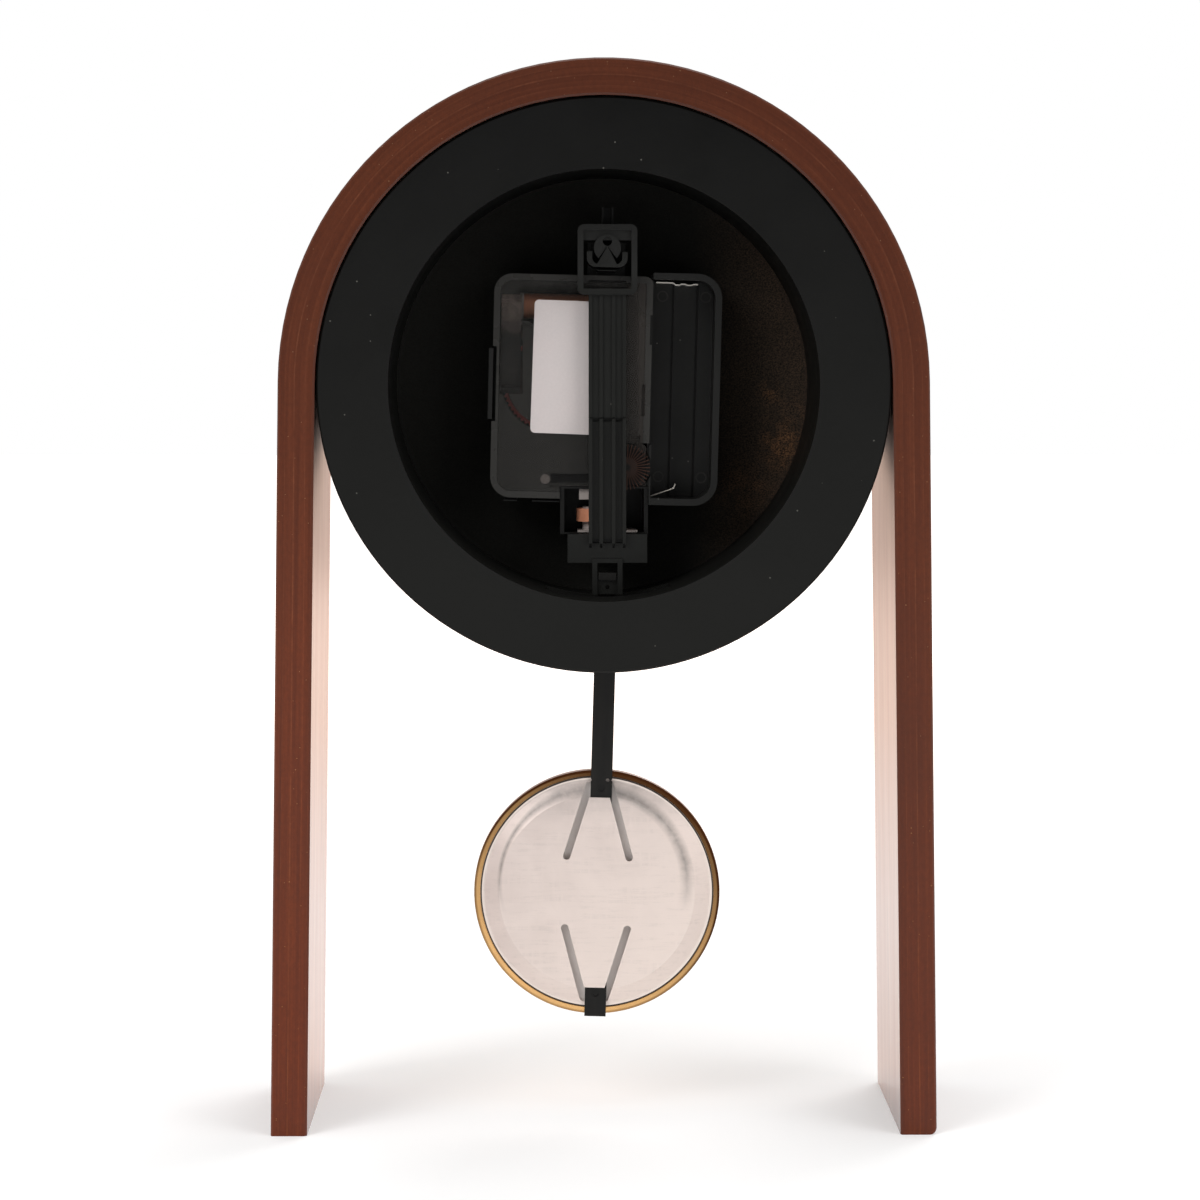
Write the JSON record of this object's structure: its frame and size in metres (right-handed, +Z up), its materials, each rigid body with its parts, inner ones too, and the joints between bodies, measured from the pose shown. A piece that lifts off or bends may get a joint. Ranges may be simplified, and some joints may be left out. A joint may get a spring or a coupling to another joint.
{
  "type": "desk pendulum clock",
  "caption": "Desk clock seen from its open back: bent wood arch, black drum with a quartz movement, and a pendulum that swings between the legs.",
  "frame": {"origin": "on the table, under the middle of the two feet, halfway through the arch's depth", "axes": "+Z up; the dial faces -Y and the open back faces +Y; +X is on the left for someone who looks at the back"},
  "size_m": [0.1582, 0.06, 0.2538],
  "materials": {
    "arch_wood": "red-brown stain under clear lacquer",
    "drum_black": "satin black",
    "board_black": "black fibreboard",
    "dial_cream": "cream print on a thin metal dial",
    "bezel_brass": "polished",
    "lens_glass": "clear",
    "spacer_black": "matt",
    "case_black": "fine moulded grain",
    "cover_smoke": "smoky translucent",
    "label_paper": "bare white paper",
    "contact_steel": "plated",
    "circuit_green": "solder mask",
    "crystal_steel": "plated can",
    "core_steel": "stamped",
    "bobbin_white": "moulded",
    "coil_copper": "enamelled copper wire",
    "wheel_white": "moulded",
    "magnet_grey": "sintered",
    "wheel_red": "moulded",
    "arbor_brass": "turned",
    "knob_red_brown": "moulded",
    "washer_rubber": "matt",
    "hand_black": "black enamel",
    "bracket_black": "moulded",
    "arm_black": "moulded",
    "rod_steel": "blackened strip",
    "bob_brass": "polished",
    "bob_aluminium": "satin"
  },
  "bodies": {
    "clock": {"arch_frame": "arch_wood", "case_ring": "drum_black", "dial_board": "board_black", "dial_plate": "dial_cream", "bezel": "bezel_brass", "dial_lens": "lens_glass", "lens_spacer": "spacer_black", "movement_base": "case_black", "movement_cover": "cover_smoke", "rating_label": "label_paper", "battery_contact_top": "contact_steel", "battery_contact_wire": "contact_steel", "circuit_board": "circuit_green", "quartz_crystal": "crystal_steel", "motor_core": "core_steel", "motor_bobbin": "bobbin_white", "motor_coil": "coil_copper", "motor_stator": "core_steel", "mounting_bush": "arbor_brass", "mounting_nut": "arbor_brass", "nut_washer": "arbor_brass", "rubber_washer": "washer_rubber", "hanger_bracket": "bracket_black", "drive_housing": "case_black", "drive_bobbin": "bobbin_white", "drive_coil": "coil_copper"},
    "fifth": {"fifth_wheel": "wheel_red"},
    "rotor": {"rotor": "wheel_white", "rotor_magnet": "magnet_grey"},
    "fourth": {"fourth_wheel": "wheel_white"},
    "third": {"third_wheel": "wheel_white"},
    "centre": {"centre_wheel": "wheel_white"},
    "minute": {"minute_arbor": "arbor_brass", "minute_hand": "hand_black", "hand_nut": "arbor_brass"},
    "motion": {"minute_wheel": "wheel_white"},
    "hour": {"hour_wheel": "wheel_white", "hour_hand": "hand_black"},
    "setting": {"setting_wheel": "knob_red_brown"},
    "arm": {"pendulum_arm": "arm_black", "pendulum_magnet": "magnet_grey"},
    "rod": {"pendulum_rod": "rod_steel"},
    "bob": {"bob_shell": "bob_brass", "bob_back": "bob_aluminium"}
  },
  "joints": [
    {"name": "fifth_wheel_spin", "type": "hinge", "parent": "clock", "child": "fifth", "pos_m": [0.01275, 0, 0.17817], "axis": [0, 1, 0], "continuous": true},
    {"name": "rotor_spin", "type": "hinge", "parent": "clock", "child": "rotor", "pos_m": [0.01908, 0, 0.18978], "axis": [0, 1, 0], "continuous": true},
    {"name": "fourth_wheel_spin", "type": "hinge", "parent": "clock", "child": "fourth", "pos_m": [0, 0, 0.1775], "axis": [0, 1, 0], "continuous": true},
    {"name": "third_wheel_spin", "type": "hinge", "parent": "clock", "child": "third", "pos_m": [-0.00219, 0, 0.18604], "axis": [0, 1, 0], "continuous": true},
    {"name": "centre_wheel_spin", "type": "hinge", "parent": "clock", "child": "centre", "pos_m": [0, 0, 0.1775], "axis": [0, 1, 0], "continuous": true},
    {"name": "minute_hand_spin", "type": "hinge", "parent": "clock", "child": "minute", "pos_m": [0, 0, 0.1775], "axis": [0, 1, 0], "continuous": true},
    {"name": "minute_wheel_spin", "type": "hinge", "parent": "clock", "child": "motion", "pos_m": [-0.00277, 0, 0.16831], "axis": [0, 1, 0], "continuous": true},
    {"name": "hour_hand_spin", "type": "hinge", "parent": "clock", "child": "hour", "pos_m": [0, 0, 0.1775], "axis": [0, 1, 0], "continuous": true},
    {"name": "setting_knob_spin", "type": "hinge", "parent": "clock", "child": "setting", "pos_m": [-0.00595, 0, 0.15778], "axis": [0, 1, 0], "continuous": true},
    {"name": "arm_swing", "type": "hinge", "parent": "clock", "child": "arm", "pos_m": [-0.00105, 0, 0.21085], "axis": [0, 1, 0], "range_deg": [-4, 4]},
    {"name": "rod_swing", "type": "hinge", "parent": "arm", "child": "rod", "pos_m": [-0.00105, 0, 0.13155], "axis": [0, 1, 0], "range_deg": [-3, 5]},
    {"name": "bob_height", "type": "slide", "parent": "rod", "child": "bob", "axis": [-0.0279, 0, 0.9996], "range_m": [-0.005, 0.015]}
  ],
  "couplings": [
    {"joint": "rotor_spin", "follows": "fifth_wheel_spin", "ratio": -7.5},
    {"joint": "fourth_wheel_spin", "follows": "fifth_wheel_spin", "ratio": -0.25},
    {"joint": "third_wheel_spin", "follows": "fifth_wheel_spin", "ratio": 0.033333},
    {"joint": "centre_wheel_spin", "follows": "fifth_wheel_spin", "ratio": -0.0041667},
    {"joint": "minute_wheel_spin", "follows": "minute_hand_spin", "ratio": -0.33333},
    {"joint": "hour_hand_spin", "follows": "minute_hand_spin", "ratio": 0.083333},
    {"joint": "setting_knob_spin", "follows": "minute_hand_spin", "ratio": 0.63158}
  ]
}
